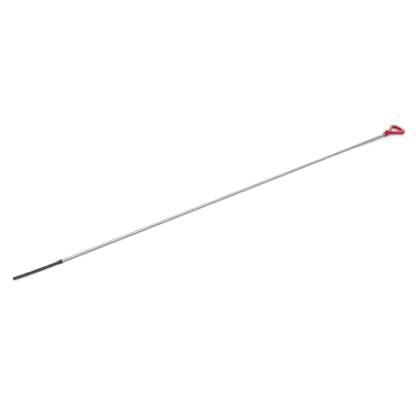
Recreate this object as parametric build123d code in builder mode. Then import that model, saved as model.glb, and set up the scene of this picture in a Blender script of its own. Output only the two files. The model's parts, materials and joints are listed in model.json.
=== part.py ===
from build123d import *
from math import atan, cos, degrees, radians, sin, sqrt
import os

# Engine oil dipstick, lying as it comes to rest, in millimetres.
# Each piece is drawn along X, with the axis of the stick at Y 0 and Z 0, the handle towards +X
# and the face that stops on the rim of the tube at X 0. At the end the stick is laid down.

# Shaft: a close-wound coil of square wire over a core wire
coil_diameter = 5.0
wire_size = 1.4
core_clearance = 0.05
free_length = 651.7
coil_grip_in_handle = 7.0
coil_grip_in_tip = 5.0
core_grip_in_handle = 4.0
core_grip_in_tip = 9.0

# Plug of the handle: a split sleeve whose claws spring into the mouth of the tube
plug_diameter = 8.2
plug_length = 3.4
claw_wall = 1.2
barb_height = 0.25
barb_length = 0.9
barb_lead = 0.4
slot_width = 1.4
slot_depth = 2.0

# Hub and neck, from the stop face to the finger loop
hub_diameter = 7.8
hub_length = 7.5
neck_diameter = 6.4
neck_start = 9.5
neck_end = 11.5
neck_fade = 2.5
neck_drop = 0.8

# Stop nose on top of the hub
nose_height = 7.6
nose_width = 5.0
nose_flat = 2.0
nose_length = 12.0
nose_edge = 0.7

# Finger loop: a rounded triangle with a bowed outer bar that is wider than its arms
loop_end = 41.0
loop_apex = 5.4
arm_angle = 33.0
arm_width = 4.7
bar_width = 5.6
loop_thickness = 5.7
bar_radius = 32.6
corner_radius = 7.4
hole_corner_radius = 3.0
crotch_radius = 2.4
loop_edge = 2.1
hole_edge = 0.8

# Measuring tip: a collar over the end of the coil and a blade that bends up a little
collar_diameter = 6.3
collar_length = 6.0
collar_edge = 0.8
blade_length = 66.0
blade_width = 4.3
blade_thickness = 3.6
blade_corner = 0.9
blade_bend_radius = 900.0
blade_end_edge = 0.7
blade_root = 2.0

# Level marks, and the hatched field that holds the oil between them
low_mark = 25.0
full_mark = 50.0
mark_width = 1.4
mark_depth = 0.4
hatch_pitch = 3.2
hatch_angle = 45.0
hatch_width = 0.6
hatch_depth = 0.3
hatch_margin = 0.15

# Worked out from the sizes above
coil_radius = coil_diameter / 2
coil_inside = coil_radius - wire_size
core_radius = coil_inside - core_clearance
plug_radius = plug_diameter / 2
claw_inside = plug_radius - claw_wall
barb_radius = plug_radius + barb_height
hub_radius = hub_diameter / 2
neck_radius = neck_diameter / 2
collar_radius = collar_diameter / 2
coil_start = -free_length - coil_grip_in_tip
coil_end = coil_grip_in_handle
core_start = coil_start - core_grip_in_tip
core_end = coil_end + core_grip_in_handle
collar_end = -free_length - collar_length
arm_slope = radians(arm_angle)
bar_centre = loop_end - bar_radius
hole_apex = loop_apex + arm_width / sin(arm_slope)
hole_bar_radius = bar_radius - bar_width

# The coil is drawn as the plain tube that its turns fill
with BuildPart() as shaft_coil:
    with BuildSketch(Plane.YZ.offset(coil_start)):
        Circle(coil_radius)
        Circle(coil_inside, mode=Mode.SUBTRACT)
    extrude(amount=coil_end - coil_start)

with BuildPart() as core_wire:
    with BuildSketch(Plane.YZ.offset(core_start)):
        Circle(core_radius)
    extrude(amount=core_end - core_start)


def loop_outline(apex, radius):
    # Two straight arms from an apex on the axis, closed by an arc of the bar
    to_centre = bar_centre - apex
    run = to_centre * cos(arm_slope) + sqrt(radius**2 - (to_centre * sin(arm_slope)) ** 2)
    corner = Vector(apex + run * cos(arm_slope), run * sin(arm_slope))
    Line((apex, 0), (corner.X, corner.Y))
    ThreePointArc((corner.X, corner.Y), (bar_centre + radius, 0), (corner.X, -corner.Y))
    Line((corner.X, -corner.Y), (apex, 0))


with BuildPart() as handle:
    # Finger loop in plan, with its edges rounded over
    with BuildSketch() as loop:
        with BuildLine():
            loop_outline(loop_apex, bar_radius)
        make_face()
        fillet(loop.vertices().group_by(Axis.X)[-1], corner_radius)
        fillet(loop.vertices().sort_by(Axis.X)[0], neck_radius)
    with BuildSketch(mode=Mode.PRIVATE) as hole:
        with BuildLine():
            loop_outline(hole_apex, hole_bar_radius)
        make_face()
        fillet(hole.vertices().group_by(Axis.X)[-1], hole_corner_radius)
        fillet(hole.vertices().sort_by(Axis.X)[0], crotch_radius)
    extrude(amount=loop_thickness / 2, both=True)
    extrude(hole.sketch, amount=loop_thickness, both=True, mode=Mode.SUBTRACT)
    fillet([flat.outer_wire().edges() for flat in handle.faces().filter_by(Axis.Z)], loop_edge)
    fillet([flat.inner_wires()[0].edges() for flat in handle.faces().filter_by(Axis.Z)], hole_edge)

    # Plug, hub and neck, turned about the axis
    with BuildSketch(Plane.XZ):
        with BuildLine():
            Polyline(
                (-plug_length, 0),
                (-plug_length, plug_radius - barb_height),
                (-plug_length + barb_lead, barb_radius),
                (-plug_length + barb_length, barb_radius),
                (-plug_length + barb_length, plug_radius),
                (0, plug_radius),
                (0, hub_radius),
                (hub_length, hub_radius),
                (neck_start, neck_radius),
                (neck_end, neck_radius),
                (neck_end + neck_fade, neck_radius - neck_drop),
                (neck_end + neck_fade, 0),
                close=True,
            )
        make_face()
    revolve(axis=Axis.X)

    # Stop nose, with a flat front face and a back that slopes down to the neck
    with BuildSketch(Plane.XZ):
        with BuildLine():
            Polyline(
                (0, 0),
                (0, nose_height),
                (nose_flat, nose_height),
                (nose_length, neck_radius),
                (nose_length, 0),
                close=True,
            )
        make_face()
    extrude(amount=nose_width / 2, both=True)
    fillet(handle.faces().sort_by(Axis.Z)[-1].edges(), nose_edge)

    # Bores for the coil and its core, wider where the claws need room to spring
    with BuildSketch(Plane.XZ):
        with BuildLine():
            Polyline(
                (-plug_length, 0),
                (-plug_length, claw_inside),
                (-plug_length + slot_depth, claw_inside),
                (-plug_length + slot_depth, coil_radius),
                (coil_end, coil_radius),
                (coil_end, core_radius),
                (core_end, core_radius),
                (core_end, 0),
                close=True,
            )
        make_face()
    revolve(axis=Axis.X, mode=Mode.SUBTRACT)

    # Crossed slots split the end of the plug into four claws
    with BuildSketch(Plane.YZ.offset(-plug_length)):
        Rectangle(slot_width, 4 * barb_radius)
        Rectangle(4 * barb_radius, slot_width)
    extrude(amount=slot_depth, mode=Mode.SUBTRACT)


def blade_plane(from_end, side=0, turn=0.0):
    # Plane on the blade at a distance from its end: across it, or on its upper (1) or lower (-1) face
    bend = (blade_length - from_end) / blade_bend_radius
    ahead = Vector(-cos(bend), 0, sin(bend))
    upward = Vector(sin(bend), 0, cos(bend))
    middle = Vector(collar_end - blade_bend_radius * sin(bend), 0, blade_bend_radius * (1 - cos(bend)))
    if side == 0:
        return Plane(origin=middle, x_dir=(0, 1, 0), z_dir=ahead)
    on_face = middle + upward * (side * blade_thickness / 2)
    return Plane(origin=on_face, x_dir=ahead.rotate(Axis((0, 0, 0), upward), turn), z_dir=upward * side)


# The hatched field keeps to the flat of the blade, between its rounded corners
hatch_slope = radians(hatch_angle)
hatch_room = blade_width - 2 * blade_corner - 2 * hatch_margin
hatch_run = (hatch_room - hatch_width * cos(hatch_slope)) / sin(hatch_slope)
hatch_count = int((full_mark - low_mark) / hatch_pitch) - 1
hatch_start = (low_mark + full_mark - (hatch_count - 1) * hatch_pitch) / 2
hatch_planes = [
    blade_plane(hatch_start + hatch_pitch * n, side, turn)
    for n in range(hatch_count)
    for side in (1, -1)
    for turn in (hatch_angle, -hatch_angle)
]

with BuildPart() as measuring_tip:
    with BuildSketch(Plane.YZ.offset(collar_end)):
        Circle(collar_radius)
    extrude(amount=collar_length)
    chamfer(measuring_tip.faces().sort_by(Axis.X)[0].edges(), collar_edge)

    # Blade along a gentle upward arc, from inside the collar
    with BuildLine(Plane.XZ):
        root_line = Line((collar_end + blade_root, 0), (collar_end, 0))
        JernArc(root_line @ 1, root_line % 1, blade_bend_radius, -degrees(blade_length / blade_bend_radius))
    with BuildSketch(Plane.YZ.offset(collar_end + blade_root)):
        RectangleRounded(blade_width, blade_thickness, blade_corner)
    sweep()
    chamfer(measuring_tip.faces().sort_by(Axis.X)[0].edges(), blade_end_edge)

    # Level marks: a groove right round the blade at each
    with BuildSketch(blade_plane(low_mark), blade_plane(full_mark)):
        Rectangle(2 * blade_width, 2 * blade_thickness)
        RectangleRounded(
            blade_width - 2 * mark_depth,
            blade_thickness - 2 * mark_depth,
            blade_corner - mark_depth,
            mode=Mode.SUBTRACT,
        )
    extrude(amount=mark_width / 2, both=True, mode=Mode.SUBTRACT)

    # Crossed diagonal grooves between the marks, on the upper and lower face
    with BuildSketch(*hatch_planes):
        Rectangle(hatch_run, hatch_width)
    extrude(amount=hatch_depth, both=True, mode=Mode.SUBTRACT)

    # Bores that hold the end of the coil and of its core
    with BuildSketch(Plane.XZ):
        with BuildLine():
            Polyline(
                (-free_length, 0),
                (-free_length, coil_radius),
                (coil_start, coil_radius),
                (coil_start, core_radius),
                (core_start, core_radius),
                (core_start, 0),
                close=True,
            )
        make_face()
    revolve(axis=Axis.X, mode=Mode.SUBTRACT)

# The stick rests on the two lowest corners of the claws and on the collar
claw_foot_x = -plug_length + barb_lead
claw_foot_drop = sqrt(barb_radius**2 - (slot_width / 2) ** 2)
collar_foot_x = collar_end + collar_edge
slope = atan((claw_foot_drop - collar_radius) / (claw_foot_x - collar_foot_x))
stop_height = claw_foot_drop * cos(slope) - claw_foot_x * sin(slope)
middle_x = (handle.part.bounding_box().max.X + measuring_tip.part.bounding_box().min.X) / 2
rest = Plane(
    origin=(-middle_x * cos(slope), 0, stop_height),
    x_dir=(cos(slope), 0, sin(slope)),
    z_dir=(-sin(slope), 0, cos(slope)),
)
for piece in (handle, shaft_coil, core_wire, measuring_tip):
    piece.part.locate(rest.location)

os.makedirs("parts", exist_ok=True)
handle.part.label = "handle"
export_step(handle.part, "parts/handle.step")
shaft_coil.part.label = "shaft_coil"
export_step(shaft_coil.part, "parts/shaft_coil.step")
core_wire.part.label = "core_wire"
export_step(core_wire.part, "parts/core_wire.step")
measuring_tip.part.label = "measuring_tip"
export_step(measuring_tip.part, "parts/measuring_tip.step")
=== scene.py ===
import bpy
import json
import math
from mathutils import Euler, Matrix, Vector


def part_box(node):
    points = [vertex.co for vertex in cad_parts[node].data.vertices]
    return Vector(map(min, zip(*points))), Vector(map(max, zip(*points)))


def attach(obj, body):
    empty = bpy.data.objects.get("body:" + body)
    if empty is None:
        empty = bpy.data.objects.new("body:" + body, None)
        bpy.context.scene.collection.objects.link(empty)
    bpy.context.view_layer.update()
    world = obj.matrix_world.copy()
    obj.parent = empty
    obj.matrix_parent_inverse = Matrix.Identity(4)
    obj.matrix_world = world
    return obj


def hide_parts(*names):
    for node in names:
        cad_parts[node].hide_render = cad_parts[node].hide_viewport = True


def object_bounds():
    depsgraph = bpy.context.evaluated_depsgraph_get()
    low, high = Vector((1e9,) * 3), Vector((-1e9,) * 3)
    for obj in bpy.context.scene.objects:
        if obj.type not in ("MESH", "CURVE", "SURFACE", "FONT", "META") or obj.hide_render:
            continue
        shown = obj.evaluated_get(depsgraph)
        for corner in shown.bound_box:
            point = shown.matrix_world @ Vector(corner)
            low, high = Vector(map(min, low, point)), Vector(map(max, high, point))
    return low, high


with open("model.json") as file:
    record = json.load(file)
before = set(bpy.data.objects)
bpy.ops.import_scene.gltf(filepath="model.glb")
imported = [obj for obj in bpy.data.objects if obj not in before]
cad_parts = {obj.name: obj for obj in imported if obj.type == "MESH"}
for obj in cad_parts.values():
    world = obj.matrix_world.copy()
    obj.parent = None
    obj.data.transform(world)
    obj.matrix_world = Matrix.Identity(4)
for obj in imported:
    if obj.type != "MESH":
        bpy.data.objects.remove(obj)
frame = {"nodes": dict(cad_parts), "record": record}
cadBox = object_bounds()
scene = bpy.context.scene
print("stage 1: frame loaded, nodes", sorted(frame["nodes"]))

# the axis of the stick, from the plug that goes into the guide tube
plugMount = next(m for m in frame["record"]["mounts"] if m["name"] == "tube_plug")
axisPoint = Vector(plugMount["pos_m"])
axisAhead = -Vector(plugMount["axis"]).normalized()  # from the tip towards the handle
axisSide = Vector((0, 1, 0))
axisUp = Vector((-axisAhead.z, 0, axisAhead.x))  # square to the axis, in the upright plane
axisTilt = math.atan2(axisAhead.z, axisAhead.x)
coilLow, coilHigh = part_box("shaft_coil")
coilRadius = (coilHigh.y - coilLow.y) / 2


def pointOnAxis(x):
    return axisPoint + axisAhead * ((x - axisPoint.x) / axisAhead.x)


def deselectAll():
    if bpy.context.object and bpy.context.object.mode != "OBJECT":
        bpy.ops.object.mode_set(mode="OBJECT")
    bpy.ops.object.select_all(action="DESELECT")


# shader helpers

nodeGap = 220  # from node to node in the editor


def addNode(tree, kind, **settings):
    node = tree.nodes.new(kind)
    node.location = (nodeGap * len(tree.nodes), -nodeGap)  # in a row, in the order they are made
    for name, value in settings.items():
        setattr(node, name, value)
    return node


def feed(tree, socket, value):  # with another node's output or with a plain value
    if isinstance(value, bpy.types.NodeSocket):
        tree.links.new(value, socket)
    else:
        socket.default_value = value


def addRange(tree, value, fromEnds, toEnds, smooth=False):
    node = addNode(tree, "ShaderNodeMapRange")
    node.interpolation_type = "SMOOTHSTEP" if smooth else "LINEAR"
    node.inputs["From Min"].default_value, node.inputs["From Max"].default_value = fromEnds
    node.inputs["To Min"].default_value, node.inputs["To Max"].default_value = toEnds
    feed(tree, node.inputs["Value"], value)
    return node.outputs["Result"]


def addMix(tree, share, first, second):  # two colours, by a share that changes over the surface
    node = addNode(tree, "ShaderNodeMix", data_type="RGBA")
    feed(tree, node.inputs["Factor"], share)
    colourSockets = [s for s in node.inputs if s.type == "RGBA"]
    for socket, colour in zip(colourSockets, (first, second)):
        feed(tree, socket, colour)
    return next(s for s in node.outputs if s.type == "RGBA")


def addMath(tree, operation, *values):
    node = addNode(tree, "ShaderNodeMath", operation=operation)
    for socket, value in zip(node.inputs, values):
        feed(tree, socket, value)
    return node.outputs[0]


def addVectorMath(tree, operation, *values):
    node = addNode(tree, "ShaderNodeVectorMath", operation=operation)
    for socket, value in zip(node.inputs, values):
        feed(tree, socket, value)
    return node.outputs


def addBump(tree, shader, height, strength, depth, normal=None):
    bump = addNode(tree, "ShaderNodeBump")
    bump.inputs["Strength"].default_value = strength
    bump.inputs["Distance"].default_value = depth
    feed(tree, bump.inputs["Height"], height)
    if normal:
        feed(tree, bump.inputs["Normal"], normal)
    feed(tree, shader.inputs["Normal"], bump.outputs["Normal"])


def newMaterial(name):  # with the Object coordinates that its patterns read
    material = bpy.data.materials.new(name)
    material.use_nodes = True
    tree = material.node_tree
    place = addNode(tree, "ShaderNodeTexCoord").outputs["Object"]
    return material, tree, tree.nodes["Principled BSDF"], place


def newGroup(name, inputs, outputs):
    group = bpy.data.node_groups.new(name, "ShaderNodeTree")
    for direction, sockets in (("INPUT", inputs), ("OUTPUT", outputs)):
        for label, kind in sockets.items():
            group.interface.new_socket(name=label, in_out=direction, socket_type="NodeSocket" + kind)
    start = addNode(group, "NodeGroupInput")
    end = addNode(group, "NodeGroupOutput")
    return group, start.outputs, end.inputs


def placeGroup(tree, group, **values):
    node = addNode(tree, "ShaderNodeGroup", node_tree=group)
    for name, value in values.items():
        feed(tree, node.inputs[name], value)
    return node.outputs


# effects that more than one finish uses

def makeStickPlace():  # where a point lies, in metres from the plug's mount and radians round the axis
    group, start, end = newGroup(
        "stickPlace",
        {"Vector": "Vector"},
        {"Along": "Float", "Up": "Float", "Radius": "Float", "Angle": "Float"},
    )
    fromAxis = addVectorMath(group, "SUBTRACT", start["Vector"], axisPoint)["Vector"]
    along, side, up = (
        addVectorMath(group, "DOT_PRODUCT", fromAxis, direction)["Value"]
        for direction in (axisAhead, axisSide, axisUp)
    )
    sideSquare = addMath(group, "MULTIPLY", side, side)
    square = addMath(group, "MULTIPLY_ADD", up, up, sideSquare)
    feed(group, end["Along"], along)
    feed(group, end["Up"], up)
    feed(group, end["Radius"], addMath(group, "SQRT", square))
    feed(group, end["Angle"], addMath(group, "ARCTAN2", side, up))
    return group


skinNoise = {
    "detail": 3.0,
    "roughness": 0.55,
    "broadShare": 0.35,  # how much of the slow drift is in the height
}


def makeFineSkin():  # a fine grain, with slow drifts of tone
    group, start, end = newGroup(
        "fineSkin",
        {"Vector": "Vector", "Fine": "Float", "Broad": "Float"},
        {"Height": "Float", "Drift": "Float"},
    )
    noises = {}
    for name in ("Fine", "Broad"):
        noise = addNode(group, "ShaderNodeTexNoise")
        noise.inputs["Detail"].default_value = skinNoise["detail"]
        noise.inputs["Roughness"].default_value = skinNoise["roughness"]
        feed(group, noise.inputs["Vector"], start["Vector"])
        feed(group, noise.inputs["Scale"], start[name])
        noises[name] = noise.outputs[0]
    height = addMath(group, "MULTIPLY_ADD", noises["Broad"], skinNoise["broadShare"], noises["Fine"])
    feed(group, end["Height"], height)
    feed(group, end["Drift"], noises["Broad"])
    return group


def makePartingSeam():  # the fine raised line where the two halves of a mould met
    group, start, end = newGroup(
        "partingSeam",
        {"Along": "Float", "Up": "Float", "Width": "Float", "BendStart": "Float", "BendRadius": "Float"},
        {"Line": "Float"},
    )
    # past the start of a bend the line rises with it: the way there squared, over the bend's diameter
    ahead = addMath(group, "SUBTRACT", start["BendStart"], start["Along"])
    past = addMath(group, "MAXIMUM", ahead, 0.0)
    square = addMath(group, "MULTIPLY", past, past)
    bendDiameter = addMath(group, "MULTIPLY", start["BendRadius"], 2.0)
    lift = addMath(group, "DIVIDE", square, bendDiameter)
    offSeam = addMath(group, "ABSOLUTE", addMath(group, "SUBTRACT", start["Up"], lift))
    share = addMath(group, "DIVIDE", offSeam, start["Width"])
    feed(group, end["Line"], addRange(group, share, (0.0, 1.0), (1.0, 0.0), smooth=True))
    return group


softEdge = {
    "samples": 6,
    "flat": 0.99,  # how far the rounded and the true normal agree away from an edge
    "edge": 0.80,  # and right on one
}


def makeMouldEdge():  # edges that a mould leaves a little round, and where they are
    group, start, end = newGroup("mouldEdge", {"Radius": "Float"}, {"Normal": "Vector", "Edge": "Float"})
    bevel = addNode(group, "ShaderNodeBevel", samples=softEdge["samples"])
    feed(group, bevel.inputs["Radius"], start["Radius"])
    rounded = bevel.outputs["Normal"]
    trueNormal = addNode(group, "ShaderNodeNewGeometry").outputs["Normal"]
    agree = addVectorMath(group, "DOT_PRODUCT", rounded, trueNormal)["Value"]
    edge = addRange(group, agree, (softEdge["flat"], softEdge["edge"]), (0.0, 1.0), smooth=True)
    feed(group, end["Normal"], rounded)
    feed(group, end["Edge"], edge)
    return group


stickPlace = makeStickPlace()
fineSkin = makeFineSkin()
partingSeam = makePartingSeam()
mouldEdge = makeMouldEdge()


# nylon mouldings: a fine skin, a parting seam and a painted highlight that makes edges a little lighter
# than the rest

def makeNylon(name, finish):
    material, tree, shader, place = newMaterial(name)
    stick = placeGroup(tree, stickPlace, Vector=place)
    skin = placeGroup(tree, fineSkin, Vector=place, Fine=finish["grainFine"], Broad=finish["grainBroad"])
    seam = placeGroup(
        tree, partingSeam, Along=stick["Along"], Up=stick["Up"], Width=finish["seamWidth"],
        BendStart=finish["bendStart"], BendRadius=finish["bendRadius"],
    )
    rim = placeGroup(tree, mouldEdge, Radius=finish["edgeRadius"])
    body = addMix(tree, skin["Drift"], finish["deep"], finish["light"])
    # painted highlight: the base colour turns lighter along the edges
    paintedHighlightShare = addMath(tree, "MULTIPLY", rim["Edge"], finish["edgeHighlightShare"])
    feed(tree, shader.inputs["Base Color"], addMix(tree, paintedHighlightShare, body, finish["edge"]))
    rough = addRange(tree, skin[finish["roughBy"]], finish["roughFrom"], finish["roughTo"])
    feed(tree, shader.inputs["Roughness"], rough)
    height = addMath(tree, "MULTIPLY_ADD", seam["Line"], finish["seamRise"], skin["Height"])
    addBump(tree, shader, height, finish["grainStrength"], finish["grainDepth"], rim["Normal"])
    shader.inputs["Specular IOR Level"].default_value = finish["gloss"]
    return material


# handle: satin red nylon

redNylon = {
    "deep": (0.38, 0.003, 0.028, 1),
    "light": (0.48, 0.0065, 0.042, 1),
    "edge": (0.60, 0.022, 0.068, 1),  # painted highlight: edges lighter than the body, standing in for light that thin edges let through
    "edgeHighlightShare": 0.45,
    "edgeRadius": 0.00035,
    "roughBy": "Drift",  # the slow drift of the skin
    "roughFrom": (0.25, 0.75),
    "roughTo": (0.22, 0.34),
    "gloss": 0.28,
    "grainFine": 2600.0,
    "grainBroad": 140.0,
    "grainStrength": 0.3,
    "grainDepth": 0.000012,
    "seamWidth": 0.00012,
    "seamRise": 9.0,  # times the height of the grain
    "bendStart": -1.0,  # nowhere on the handle, which is straight
    "bendRadius": 1.0,
}


# measuring tip: fine matte black nylon

blackNylon = {
    "deep": (0.018, 0.018, 0.020, 1),
    "light": (0.040, 0.040, 0.043, 1),
    # painted highlight: edges lighter than the body
    "edge": (0.075, 0.075, 0.079, 1),
    "edgeHighlightShare": 0.5,
    "edgeRadius": 0.00025,
    "roughBy": "Height",  # the grain of the skin
    "roughFrom": (0.3, 1.0),
    "roughTo": (0.42, 0.58),
    "gloss": 0.5,
    "grainFine": 3800.0,
    "grainBroad": 220.0,
    "grainStrength": 0.35,
    "grainDepth": 0.00002,
    "seamWidth": 0.0001,
    "seamRise": 2.5,  # times the height of the grain
    "bendStart": -0.6565,  # where the blade leaves the collar, along the stick from the plug's mount
    "bendRadius": 0.9,
}


# shaft: satin drawn wire, with painted shade making the grooves between the turns darker

drawnWire = {
    # painted shade: the colour deep in the grooves between the turns
    "groove": (0.355, 0.36, 0.365, 1),
    "crestDull": (0.43, 0.44, 0.45, 1),
    "crestClear": (0.51, 0.52, 0.53, 1),
    "grooveDepth": 0.00055,
    "metal": 1.0,
    "grazing": (0.3, 0.3, 0.3, 1),  # keeps the far edge of the shaft grey against the floor
    "roughFrom": (0.3, 1.0),
    "roughTo": (0.30, 0.46),
    "drawFine": 16000.0,  # the lines that the die left along the wire
    "drawBroad": 420.0,
    "drawTurn": 0.00004,  # how slowly those lines change round a turn
    "drawStrength": 0.12,
    "drawDepth": 0.000006,
}


def makeDrawnWire():
    material, tree, shader, place = newMaterial("drawnWire")
    stick = placeGroup(tree, stickPlace, Vector=place)
    roundAxis = addMath(tree, "MULTIPLY", stick["Angle"], drawnWire["drawTurn"])
    alongWire = addNode(tree, "ShaderNodeCombineXYZ")
    for axis, value in (("X", stick["Along"]), ("Y", stick["Radius"]), ("Z", roundAxis)):
        feed(tree, alongWire.inputs[axis], value)
    lines = placeGroup(
        tree, fineSkin, Vector=alongWire.outputs["Vector"],
        Fine=drawnWire["drawFine"], Broad=drawnWire["drawBroad"],
    )
    grooveFloor = coilRadius - drawnWire["grooveDepth"]
    # painted shade: darker colour towards the bottom of the grooves, full colour on the crests
    onCrest = addRange(tree, stick["Radius"], (grooveFloor, coilRadius), (0.0, 1.0), smooth=True)
    crest = addMix(tree, lines["Drift"], drawnWire["crestDull"], drawnWire["crestClear"])
    feed(tree, shader.inputs["Base Color"], addMix(tree, onCrest, drawnWire["groove"], crest))
    rough = addRange(tree, lines["Height"], drawnWire["roughFrom"], drawnWire["roughTo"])
    feed(tree, shader.inputs["Roughness"], rough)
    addBump(tree, shader, lines["Height"], drawnWire["drawStrength"], drawnWire["drawDepth"])
    shader.inputs["Metallic"].default_value = drawnWire["metal"]
    shader.inputs["Specular Tint"].default_value = drawnWire["grazing"]
    return material


wireMaterial = makeDrawnWire()
materials = {
    "handle": makeNylon("redNylon", redNylon),
    "measuring_tip": makeNylon("blackNylon", blackNylon),
    "core_wire": wireMaterial,
}
for nodeName, material in materials.items():
    node = frame["nodes"][nodeName]
    node.data.materials.clear()
    node.data.materials.append(material)
print("stage 2: materials", len(bpy.data.materials))


# wound shaft: one wire of square section with rounded edges, turn against turn

woundWire = {
    "width": 0.0014,
    "edge": 0.00026,
    "edgeSteps": 2,
    "stepsPerTurn": 24,
}


def drawWireSection():  # a small square over the axis, with its two outer corners rounded
    deselectAll()
    half = woundWire["width"] / 2
    bpy.ops.mesh.primitive_plane_add(size=woundWire["width"], rotation=(math.pi / 2, 0, 0))
    bpy.ops.object.transform_apply(location=True, rotation=True, scale=True)
    wire = bpy.context.object
    bpy.ops.object.mode_set(mode="EDIT")
    bpy.ops.transform.translate(value=(half, 0, coilRadius - half))
    bpy.ops.mesh.select_mode(type="VERT")
    bpy.ops.mesh.select_all(action="DESELECT")
    bpy.ops.object.mode_set(mode="OBJECT")
    for corner in wire.data.vertices:
        corner.select = corner.co.z > coilRadius - half
    bpy.ops.object.mode_set(mode="EDIT")
    bpy.ops.mesh.bevel(offset=woundWire["edge"], segments=woundWire["edgeSteps"], affect="VERTICES")
    bpy.ops.mesh.select_all(action="SELECT")
    bpy.ops.mesh.delete(type="ONLY_FACE")
    bpy.ops.object.mode_set(mode="OBJECT")
    return wire


def windWire(wire, turns):
    screw = wire.modifiers.new("turns", "SCREW")
    screw.axis = "X"
    screw.angle = 2 * math.pi
    screw.screw_offset = woundWire["width"]
    screw.iterations = turns
    screw.steps = woundWire["stepsPerTurn"]
    screw.render_steps = woundWire["stepsPerTurn"]
    bpy.ops.object.modifier_apply(modifier=screw.name)
    bpy.ops.object.mode_set(mode="EDIT")
    bpy.ops.mesh.select_mode(type="EDGE")
    bpy.ops.mesh.select_all(action="DESELECT")
    bpy.ops.mesh.select_non_manifold()
    bpy.ops.mesh.fill_holes(sides=0)  # closes the cut ends of the wire
    bpy.ops.mesh.select_all(action="SELECT")
    bpy.ops.mesh.normals_make_consistent(inside=False)
    bpy.ops.object.mode_set(mode="OBJECT")
    bpy.ops.object.shade_smooth()
    flats = wire.modifiers.new("flats", "WEIGHTED_NORMAL")  # keeps the outside of the wire flat
    bpy.ops.object.modifier_apply(modifier=flats.name)


def makeWoundShaft():
    shaft = drawWireSection()
    shaft.name = "wound_shaft"
    shaft.data.name = "wound_shaft"
    # one turn less than fits, because the section itself is one wire wide
    turns = int((coilHigh.x - coilLow.x) / woundWire["width"]) - 1
    windWire(shaft, turns)
    shaft.rotation_euler = (0, -axisTilt, 0)
    shaft.location = pointOnAxis(coilLow.x)
    bpy.ops.object.transform_apply(location=True, rotation=True, scale=True)
    shaft.data.materials.append(wireMaterial)
    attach(shaft, "root")
    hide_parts("shaft_coil")
    print("stage 3: wound shaft, turns", turns, "faces", len(shaft.data.polygons))


makeWoundShaft()


# stage: a pale floor that glows white for the camera, with painted shade where the glow dims round the
# handle

paleFloor = {
    "size": 12.0,
    "dull": (0.57, 0.57, 0.57, 1),
    "clear": (0.58, 0.58, 0.58, 1),
    "grainFine": 600.0,
    "grainBroad": 3.0,
    "rough": 0.9,
    "gloss": 0.1,
    "glowTint": (1, 1, 1, 1),
    "glow": 0.48,  # keeps the floor white in the picture and lights nothing, apart from reflections
    "mirror": 0.4,  # how much of that glow shows in reflections
    "handleGlow": 0.155,  # painted shade: less glow round the handle, darkening the floor there so that its soft shadow shows
    "handleReach": (0.04, 0.155),  # from its middle, where the glow starts and stops growing
}


def addFloorGlow(tree, place):
    rays = addNode(tree, "ShaderNodeLightPath").outputs
    seen = addMath(tree, "MULTIPLY_ADD", rays["Is Glossy Ray"], paleFloor["mirror"], rays["Is Camera Ray"])
    handleLow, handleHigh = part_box("handle")
    underHandle = ((handleLow.x + handleHigh.x) / 2, 0, 0)
    away = addVectorMath(tree, "DISTANCE", place, underHandle)["Value"]
    glowEnds = (paleFloor["handleGlow"], paleFloor["glow"])
    # painted shade: the glow falls off towards the middle of the handle
    level = addRange(tree, away, paleFloor["handleReach"], glowEnds, smooth=True)
    return addMath(tree, "MULTIPLY", seen, level)


def makeFloor():
    deselectAll()
    bpy.ops.mesh.primitive_plane_add(size=paleFloor["size"], location=(0, 0, cadBox[0].z))
    floor = bpy.context.object
    floor.name = "floor"
    material, tree, shader, place = newMaterial("paleFloor")
    skin = placeGroup(
        tree, fineSkin, Vector=place, Fine=paleFloor["grainFine"], Broad=paleFloor["grainBroad"],
    )
    tone = addMix(tree, skin["Drift"], paleFloor["dull"], paleFloor["clear"])
    feed(tree, shader.inputs["Base Color"], tone)
    shader.inputs["Roughness"].default_value = paleFloor["rough"]
    shader.inputs["Specular IOR Level"].default_value = paleFloor["gloss"]
    shader.inputs["Emission Color"].default_value = paleFloor["glowTint"]
    feed(tree, shader.inputs["Emission Strength"], addFloorGlow(tree, place))
    floor.data.materials.append(material)


# stage: soft light

softboxes = {
    "keySoftbox": {  # a long one over the stick, a little in front of it
        "place": (0.10, -0.6, 1.5),
        "size": (2.6, 1.0),
        "energy": 28.0,
    },
    "sheenSoftbox": {  # mirrored in the flat top of the finger loop
        "place": (1.46, 0.86, 0.77),
        "size": (1.0, 0.7),
        "energy": 8.0,
    },
    "fillSoftbox": {  # brightens what faces the measuring tip
        "place": (-1.6, 0.2, 1.0),
        "size": (1.0, 0.8),
        "energy": 9.0,
    },
}


def makeSoftbox(name, box):
    aim = -Vector(box["place"])  # towards the middle of the stick
    turn = aim.to_track_quat("-Z", "Y").to_euler()
    bpy.ops.object.light_add(type="AREA", location=box["place"], rotation=turn)
    light = bpy.context.object
    light.name = name
    light.data.shape = "RECTANGLE"
    light.data.size, light.data.size_y = box["size"]
    light.data.energy = box["energy"]


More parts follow.
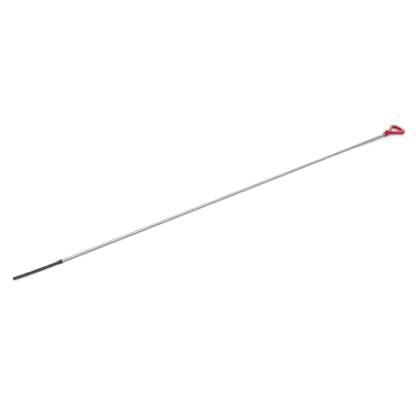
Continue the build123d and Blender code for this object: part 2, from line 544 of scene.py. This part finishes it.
room = {
    "tint": (1.0, 1.0, 1.01, 1),
    "lightSide": (0.0, 0.20, 1.0),  # bright overhead, dark low down, more so on the camera's side
    "sideEnds": (0.60, 1.05),  # where it starts and stops brightening, towards that side
    "strengthEnds": (0.26, 1.2),
    "backdrop": 0.9,  # what the camera sees of it
}


def makeRoom():
    scene.world = bpy.data.worlds.new("softRoom")
    scene.world.use_nodes = True
    tree = scene.world.node_tree
    background = tree.nodes["Background"]
    direction = addNode(tree, "ShaderNodeTexCoord").outputs["Generated"]
    along = addVectorMath(tree, "DOT_PRODUCT", direction, room["lightSide"])["Value"]
    strength = addRange(tree, along, room["sideEnds"], room["strengthEnds"], smooth=True)
    seen = addNode(tree, "ShaderNodeLightPath").outputs["Is Camera Ray"]
    mix = addNode(tree, "ShaderNodeMix", data_type="FLOAT")
    for name, value in (("Factor", seen), ("A", strength), ("B", room["backdrop"])):
        feed(tree, mix.inputs[name], value)
    feed(tree, background.inputs["Strength"], mix.outputs["Result"])
    background.inputs["Color"].default_value = room["tint"]


# stage: the photograph's view

photoView = {
    "place": (-0.5010, -0.6686, 0.6008),
    "pitchDown": 37.105,  # degrees, like yaw and roll
    "yaw": 56.61,
    "roll": 0.15,
    "lens": 53.75,  # millimetres, like the width of the sensor, for a square picture
    "sensor": 36.0,
    "nearest": 0.01,  # what is closer isn't drawn
}


def makeCamera():
    level = Euler((math.radians(90 - photoView["pitchDown"]), 0, math.radians(photoView["yaw"] - 90)))
    turn = level.to_matrix() @ Matrix.Rotation(math.radians(photoView["roll"]), 3, "Z")
    bpy.ops.object.camera_add(location=photoView["place"], rotation=turn.to_euler())
    camera = bpy.context.object
    camera.name = "photoCamera"
    camera.data.sensor_width = photoView["sensor"]
    camera.data.lens = photoView["lens"]
    camera.data.clip_start = photoView["nearest"]
    scene.camera = camera


makeFloor()
for name, box in softboxes.items():
    makeSoftbox(name, box)
makeRoom()
makeCamera()
scene.view_settings.view_transform = "Standard"
print("stage 4: floor, lights and camera")
